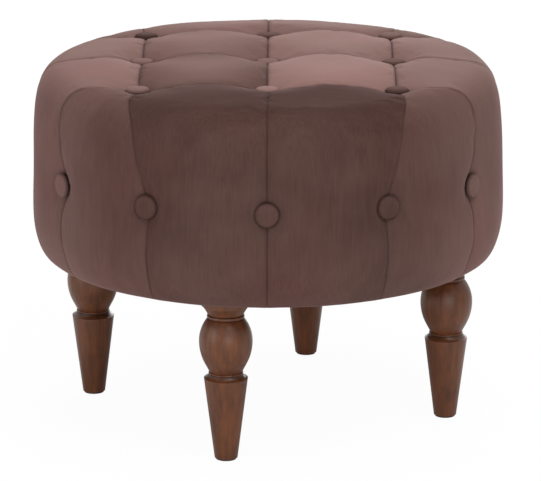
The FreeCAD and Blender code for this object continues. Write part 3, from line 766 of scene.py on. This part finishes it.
def stuff(surfaces, sizes, stride=2, last_frame=20):
    """Cloth under pressure, held along the seams, with a little more cloth than the pocket needs.

    It works on every second point, a point between two moves by the mean of theirs, and no point
    moves further than the swell cap.
    """
    scene = bpy.context.scene
    coarse = {name: points[::stride, ::stride] for name, points in surfaces.items()}
    faces, held, start = [], [], 0
    for points in coarse.values():
        rows, columns = points.shape[:2]
        numbers = start + np.arange(rows * columns).reshape(rows, columns)
        faces.append(grid_faces(rows, columns) + start)
        held += [numbers[0], numbers[-1], numbers[:, 0], numbers[:, -1]]
        start += rows * columns
    flat = np.concatenate([points.reshape(-1, 3) for points in coarse.values()])
    mesh = bpy.data.meshes.new("stuffing")
    mesh.from_pydata(flat.tolist(), [], np.concatenate(faces).tolist())
    cloth_object = bpy.data.objects.new("stuffing", mesh)
    scene.collection.objects.link(cloth_object)
    pins = cloth_object.vertex_groups.new(name="seams")
    pins.add(np.unique(np.concatenate(held)).tolist(), 1.0, "REPLACE")
    cloth = cloth_object.modifiers.new("stuffing", "CLOTH")
    settings = cloth.settings
    settings.quality = 5
    settings.mass = 0.2
    settings.tension_stiffness = settings.compression_stiffness = 20
    settings.shear_stiffness = 8
    settings.bending_stiffness = 0.4
    settings.use_pressure = True
    settings.uniform_pressure_force = 4
    settings.effector_weights.gravity = 0
    settings.vertex_group_mass = "seams"
    settings.shrink_min = -0.005
    cloth.collision_settings.use_collision = False
    cloth.point_cache.frame_start = 1
    cloth.point_cache.frame_end = last_frame
    for number in range(1, last_frame + 1):
        scene.frame_set(number)
    evaluated = cloth_object.evaluated_get(bpy.context.evaluated_depsgraph_get())
    after = np.empty(flat.size, dtype=np.float32)
    evaluated.data.vertices.foreach_get("co", after)
    move = after.reshape(-1, 3) - flat
    size = np.linalg.norm(move, axis=-1, keepdims=True)
    move *= np.minimum(1, sizes.swell_cap / np.maximum(size, 1e-9))
    bpy.data.objects.remove(cloth_object)
    start = 0
    for name, points in coarse.items():
        rows, columns = points.shape[:2]
        part = move[start:start + rows * columns].reshape(rows, columns, 3)
        start += rows * columns
        fine = np.zeros(surfaces[name].shape)
        fine[::stride, ::stride] = part
        fine[1::stride] = (fine[:-1:stride] + fine[2::stride]) / 2
        fine[:, 1::stride] = (fine[:, :-1:stride] + fine[:, 2::stride]) / 2
        surfaces[name] = surfaces[name] + fine


def button_profile(radius, height, shank_radius, shank_length):
    """Radius and height pairs from the shank's end to the middle of the face.

    The wall leans in below the edge, the edge is rounded, a bevel leads up to the face, and the face
    is a flat dome whose height falls as the fourth power of the radius.
    """
    edge = 0.0012
    shank = np.array([(0, -shank_length), (shank_radius, -shank_length), (shank_radius, 0.0004),
                      (radius - 0.004, 0.0), (radius - 0.0015, 0.0004), (radius - 0.0004, 0.0014)])
    turn = np.linspace(-0.2 * np.pi, np.pi * 0.28, 8)
    rim = np.stack([radius - edge + edge * np.cos(turn), 0.0028 + edge * np.sin(turn)], -1)
    bevel = np.array([(radius - 0.0016, height - 0.0020), (radius - 0.0022, height - 0.00135),
                      (radius - 0.0029, height - 0.0009)])
    share = np.linspace(1, 0, 22)[1:]
    dome = np.stack([bevel[-1, 0] * share, height - 0.0009 * share ** 4], -1)
    return np.concatenate([shank, rim, bevel, dome])


class TUFFET_OT_buttons(bpy.types.Operator):
    """Velvet-covered buttons on the top and round the side"""
    bl_idname = "tuffet.buttons"
    bl_label = "Covered Buttons"

    def execute(self, context):
        material = bpy.data.materials["brushed_velvet"]
        for (name, (column, row)), painted_light in zip(TOP_BUTTONS.items(), TOP_BUTTON_PAINTED_LIGHT):
            base = box_high(name, 2) - BUTTON_SINK
            place = np.array([column * TUFT_REACH, row * TUFT_REACH, base])
            self.button(name, place, np.eye(3), painted_light, material)
        for name, angle in SIDE_BUTTONS.items():
            turn = math.radians(angle)
            out = np.array([math.sin(turn), -math.cos(turn), 0.0])
            across = np.array([math.cos(turn), math.sin(turn), 0.0])
            axes = np.stack([across, np.array([0, 0, 1.0]), out])
            base = SIDE_BUTTON_FACE - BUTTON_HEIGHT
            # Painted light, lighter towards the left and right as painted sheen
            painted_light = 0.10 + 0.55 * math.sin(turn) ** 4
            self.button(name, out * base + [0, 0, SIDE_TUFT_Z], axes, painted_light, material)
        return {"FINISHED"}

    def button(self, name, place, axes, painted_light, material, sides=48):
        """A button's profile turned about the third of its axes, with its base's middle at place."""
        radius = BUTTON_RADIUS + BUTTON_CLOTH
        profile = button_profile(radius, BUTTON_HEIGHT, SHANK_RADIUS, SHANK_LENGTH)
        turn = np.linspace(0, 2 * np.pi, sides, endpoint=False)[:, None]
        r, z = profile[:, 0], profile[:, 1]
        local = np.stack([r * np.cos(turn), r * np.sin(turn), z + 0 * turn], -1)
        points = place + local @ axes
        faces = grid_faces(sides, len(profile), True).tolist()
        piece = new_piece(name.replace("button", "covered_button"), points, faces, material)
        weld(piece)
        corners = np.empty(len(piece.data.vertices) * 3)
        piece.data.vertices.foreach_get("co", corners)
        out = np.linalg.norm((corners.reshape(-1, 3) - place) @ axes[:2].T, axis=1)
        set_values(piece, "painted_light", np.full(len(out), painted_light))
        # Painted shadow round the button's edge
        edge = smoothstep(BUTTON_RADIUS - 0.0018, BUTTON_RADIUS - 0.0006, out)
        set_values(piece, "seam", 0.8 * edge)
        finish(piece, "velvet", name)


def weld(piece, distance=0.00001):
    """Joins the points that meet at the poles."""
    mesh = bmesh.new()
    mesh.from_mesh(piece.data)
    bmesh.ops.remove_doubles(mesh, verts=mesh.verts, dist=distance)
    bmesh.ops.recalc_face_normals(mesh, faces=mesh.faces)
    mesh.to_mesh(piece.data)
    mesh.free()


class TUFFET_OT_legs(bpy.types.Operator):
    """Stained finish of the turned legs and their glides"""
    bl_idname = "tuffet.legs"
    bl_label = "Turned Legs"

    def execute(self, context):
        wood = wood_material(context.scene.tuffet_wood)
        glide = plain_material("glide", (0.03, 0.022, 0.018), 0.6)
        for side in ("front", "left", "back", "right"):
            dress("leg_" + side, wood)
            dress("foot_pad_" + side, glide)
        return {"FINISHED"}


class TUFFET_OT_underside(bpy.types.Operator):
    """Finish of the cloth, hem and staples underneath"""
    bl_idname = "tuffet.underside"
    bl_label = "Underside"

    def execute(self, context):
        dress("dust_cover", plain_material("dust_cloth", (0.012, 0.012, 0.012), 0.9))
        dress("cover_hem", bpy.data.materials["brushed_velvet"])
        dress("staples", plain_material("staple_wire", (0.6, 0.6, 0.6), 0.35, 1.0))
        return {"FINISHED"}


class TUFFET_OT_inside(bpy.types.Operator):
    """Finish of the frame, foam, twine and fixings inside"""
    bl_idname = "tuffet.inside"
    bl_label = "Inside"

    def execute(self, context):
        plywood = plain_material("plywood", (0.50, 0.33, 0.17), 0.7)
        steel = plain_material("zinc_steel", (0.55, 0.55, 0.56), 0.35, 1.0)
        foam = plain_material("foam", (0.75, 0.68, 0.42), 0.95)
        for name in ("base_board", "seat_board", "frame_posts"):
            dress(name, plywood)
        for name in ("leg_bolts", "leg_tee_nuts", "frame_screws"):
            dress(name, steel)
        for name in ("side_foam", "top_foam"):
            dress(name, foam)
        dress("drum_wall", plain_material("hardboard", (0.20, 0.12, 0.07), 0.8))
        dress("button_twines", plain_material("twine", (0.6, 0.55, 0.42), 0.9))
        dress("twine_washers", plain_material("washer", (0.7, 0.7, 0.68), 0.5))
        return {"FINISHED"}


def area_lamp(name, place, target, size, power):
    """White round lamp of a diameter in metres and a power in watts, turned to its target."""
    lamp = bpy.data.lights.new(name, "AREA")
    lamp.shape = "DISK"
    lamp.size = size
    lamp.energy = power
    holder = bpy.data.objects.new(name, lamp)
    holder.location = place
    holder.rotation_euler = (Vector(target) - Vector(place)).to_track_quat("-Z", "Y").to_euler()
    bpy.context.scene.collection.objects.link(holder)


class TUFFET_OT_stage(bpy.types.Operator):
    """Pale floor, soft lamps and the camera"""
    bl_idname = "tuffet.stage"
    bl_label = "Stage"

    def execute(self, context):
        scene = context.scene
        self.floor()
        self.world(scene)
        centre = (0, 0, 0.3)
        area_lamp("key", (0.9, -1.6, 2.6), centre, 1.6, 36)
        area_lamp("fill", (-2.4, -1.6, 0.8), centre, 1.8, 22)
        area_lamp("front", (0.6, -3.0, 0.4), (0, 0, 0.15), 2.0, 28)
        area_lamp("overhead", (0, 0.4, 2.6), centre, 2.0, 28)
        area_lamp("back", (0.4, 2.6, 0.6), (0, 0, 0.1), 1.6, 26)
        self.camera(scene, scene.tuffet_stage)
        scene.view_settings.view_transform = "Standard"
        return {"FINISHED"}

    def floor(self):
        material, tree, shader = new_material("floor")
        shader.inputs["Base Color"].default_value = (1.0, 1.0, 1.0, 1)
        shader.inputs["Roughness"].default_value = 0.9
        glow = node(tree, "ShaderNodeEmission", {"Color": (1, 1, 1, 1), "Strength": 1.0})
        path = node(tree, "ShaderNodeLightPath")
        seen = maths(tree, "MULTIPLY", path.outputs["Is Camera Ray"], 0.96)
        mixed = node(tree, "ShaderNodeMixShader", {0: seen, 1: shader.outputs[0], 2: glow.outputs[0]})
        output = next(n for n in tree.nodes if n.type == "OUTPUT_MATERIAL")
        tree.links.new(mixed.outputs[0], output.inputs[0])
        reach = 6.0
        points = [(-reach, -reach, 0), (reach, -reach, 0), (reach, reach, 0), (-reach, reach, 0)]
        new_piece("floor", points, [[0, 1, 2, 3]], material, False)

    def world(self, scene):
        world = bpy.data.worlds.new("studio")
        world.use_nodes = True
        scene.world = world
        tree = world.node_tree
        tree.nodes.clear()
        path = node(tree, "ShaderNodeLightPath")
        direct = maths(tree, "MAXIMUM", path.outputs["Is Camera Ray"], path.outputs["Is Glossy Ray"])
        direct = maths(tree, "MAXIMUM", direct, path.outputs["Is Transmission Ray"])
        strength = maths(tree, "MULTIPLY_ADD", direct, 0.62, 0.38)
        background = node(tree, "ShaderNodeBackground", {"Color": (1, 1, 1, 1), "Strength": strength})
        output = node(tree, "ShaderNodeOutputWorld")
        tree.links.new(background.outputs[0], output.inputs[0])

    def camera(self, scene, sizes):
        data = bpy.data.cameras.new("camera")
        data.sensor_width = 36.0
        data.sensor_fit = "HORIZONTAL"
        data.lens = sizes.camera_lens
        data.clip_end = 50.0
        camera = bpy.data.objects.new("camera", data)
        elevation, azimuth = sizes.camera_elevation, sizes.camera_azimuth
        back = Vector((math.sin(azimuth) * math.cos(elevation), -math.cos(azimuth) * math.cos(elevation),
                       math.sin(elevation)))
        camera.location = Vector(sizes.look_at) + back * sizes.camera_distance
        camera.rotation_euler = back.to_track_quat("Z", "Y").to_euler()
        scene.collection.objects.link(camera)
        scene.camera = camera


OPERATORS = (TUFFET_OT_pockets, TUFFET_OT_buttons, TUFFET_OT_legs, TUFFET_OT_underside,
             TUFFET_OT_inside, TUFFET_OT_stage)


class TUFFET_PT_sidebar(bpy.types.Panel):
    """Lists what the tuffet is built from"""
    bl_idname = "TUFFET_PT_sidebar"
    bl_label = "Tuffet"
    bl_space_type = "VIEW_3D"
    bl_region_type = "UI"
    bl_category = "Tuffet"

    def draw(self, context):
        for operator in OPERATORS:
            self.layout.operator(operator.bl_idname)


GROUPS = {"tuffet_cover": CoverSizes, "tuffet_velvet": VelvetColours, "tuffet_wood": WoodColours,
          "tuffet_stage": StageSizes}
CLASSES = (*GROUPS.values(), *OPERATORS, TUFFET_PT_sidebar)


def register():
    for made in CLASSES:
        bpy.utils.register_class(made)
    for name, group in GROUPS.items():
        setattr(bpy.types.Scene, name, PointerProperty(type=group))


def unregister():
    for name in GROUPS:
        delattr(bpy.types.Scene, name)
    for made in reversed(CLASSES):
        bpy.utils.unregister_class(made)


def main():
    register()
    bpy.ops.tuffet.pockets()
    bpy.ops.tuffet.buttons()
    bpy.ops.tuffet.legs()
    bpy.ops.tuffet.underside()
    bpy.ops.tuffet.inside()
    bpy.ops.tuffet.stage()


if __name__ == "__main__":
    main()
